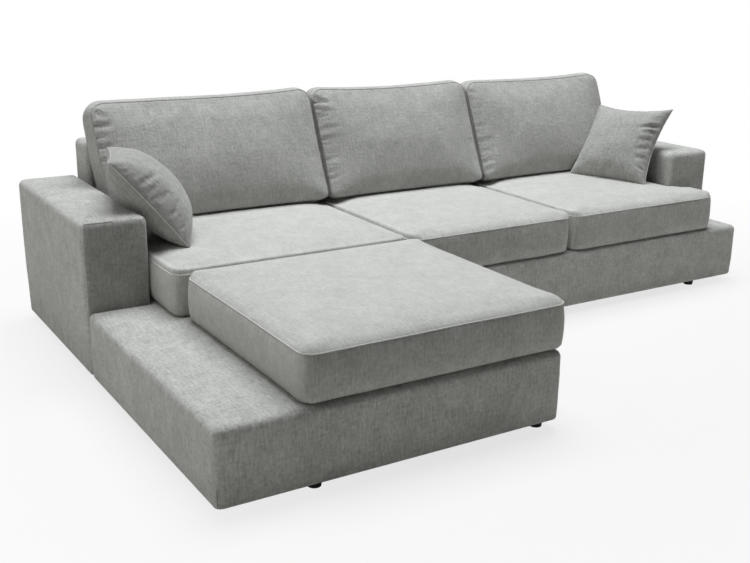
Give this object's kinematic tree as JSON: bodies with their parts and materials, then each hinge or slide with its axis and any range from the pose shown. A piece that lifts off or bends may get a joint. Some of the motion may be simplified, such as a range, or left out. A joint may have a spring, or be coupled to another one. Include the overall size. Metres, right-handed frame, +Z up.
{
  "type": "corner sofa",
  "caption": "Low corner sofa: a chaise module hooked to a longer module, box arms, low backrests and loose seat, chaise, back and throw cushions that lift off",
  "frame": {"origin": "middle of the footprint's bounding box, on the floor", "axes": "+X to the right along the backrests, seen from the front; +Y to the rear; +Z up. The chaise stands out towards -Y at the -X end."},
  "size_m": [2.95, 1.9, 0.8905],
  "materials": {
    "upholstery": "warm grey chenille weave",
    "timber": "planed softwood and board",
    "foam": "open-cell foam",
    "fibre": "loose polyester fibre in an inner bag",
    "webbing": "woven elastic",
    "dust_cloth": "thin non-woven cloth",
    "zip_tape": "coil zip on woven tape",
    "foot_plastic": "moulded, matt",
    "steel": "zinc plated"
  },
  "bodies": {
    "chaise_module": {"chaise_frame": "timber", "chaise_webbing": "webbing", "chaise_deck_pad": "foam", "chaise_base_cover": "upholstery", "chaise_dust_cover": "dust_cloth", "left_arm_frame": "timber", "left_arm_foam": "foam", "left_arm_cover": "upholstery", "chaise_back_frame": "timber", "chaise_back_foam": "foam", "chaise_back_cover": "upholstery", "chaise_bolts": "steel", "chaise_tee_nuts": "steel", "chaise_feet": "foot_plastic", "chaise_foot_screws": "steel", "connector_plates": "steel", "connector_plate_screws": "steel"},
    "sofa_module": {"sofa_frame": "timber", "sofa_webbing": "webbing", "sofa_deck_pad": "foam", "sofa_base_cover": "upholstery", "sofa_dust_cover": "dust_cloth", "right_arm_frame": "timber", "right_arm_foam": "foam", "right_arm_cover": "upholstery", "sofa_back_frame": "timber", "sofa_back_foam": "foam", "sofa_back_cover": "upholstery", "sofa_bolts": "steel", "sofa_tee_nuts": "steel", "sofa_feet": "foot_plastic", "sofa_foot_screws": "steel", "connector_pins": "steel"},
    "chaise_cushion": {"chaise_cushion_cover": "upholstery", "chaise_cushion_core": "foam", "chaise_cushion_zip": "zip_tape"},
    "seat_1": {"seat_1_cover": "upholstery", "seat_1_core": "foam", "seat_1_zip": "zip_tape"},
    "seat_2": {"seat_2_cover": "upholstery", "seat_2_core": "foam", "seat_2_zip": "zip_tape"},
    "seat_3": {"seat_3_cover": "upholstery", "seat_3_core": "foam", "seat_3_zip": "zip_tape"},
    "back_1": {"back_1_cover": "upholstery", "back_1_filling": "fibre", "back_1_zip": "zip_tape"},
    "back_2": {"back_2_cover": "upholstery", "back_2_filling": "fibre", "back_2_zip": "zip_tape"},
    "back_3": {"back_3_cover": "upholstery", "back_3_filling": "fibre", "back_3_zip": "zip_tape"},
    "left_pillow": {"left_pillow_cover": "upholstery", "left_pillow_filling": "fibre"},
    "right_pillow": {"right_pillow_cover": "upholstery", "right_pillow_filling": "fibre"}
  },
  "joints": [
    {"name": "sofa_module_lift", "type": "slide", "parent": "chaise_module", "child": "sofa_module", "axis": [0, 0, 1], "range_m": [0, 0.06]},
    {"name": "chaise_cushion_lift", "type": "slide", "parent": "chaise_module", "child": "chaise_cushion", "axis": [0, 0, 1], "range_m": [0, 0.35]},
    {"name": "seat_1_lift", "type": "slide", "parent": "chaise_module", "child": "seat_1", "axis": [0, 0, 1], "range_m": [0, 0.35]},
    {"name": "seat_2_lift", "type": "slide", "parent": "sofa_module", "child": "seat_2", "axis": [0, 0, 1], "range_m": [0, 0.35]},
    {"name": "seat_3_lift", "type": "slide", "parent": "sofa_module", "child": "seat_3", "axis": [0, 0, 1], "range_m": [0, 0.35]},
    {"name": "back_1_lift", "type": "slide", "parent": "seat_1", "child": "back_1", "axis": [0, 0, 1], "range_m": [0, 0.35]},
    {"name": "back_2_lift", "type": "slide", "parent": "seat_2", "child": "back_2", "axis": [0, 0, 1], "range_m": [0, 0.35]},
    {"name": "back_3_lift", "type": "slide", "parent": "seat_3", "child": "back_3", "axis": [0, 0, 1], "range_m": [0, 0.35]},
    {"name": "left_pillow_lift", "type": "slide", "parent": "back_1", "child": "left_pillow", "axis": [0, 0, 1], "range_m": [0, 0.35]},
    {"name": "right_pillow_lift", "type": "slide", "parent": "back_3", "child": "right_pillow", "axis": [0, 0, 1], "range_m": [0, 0.35]}
  ]
}
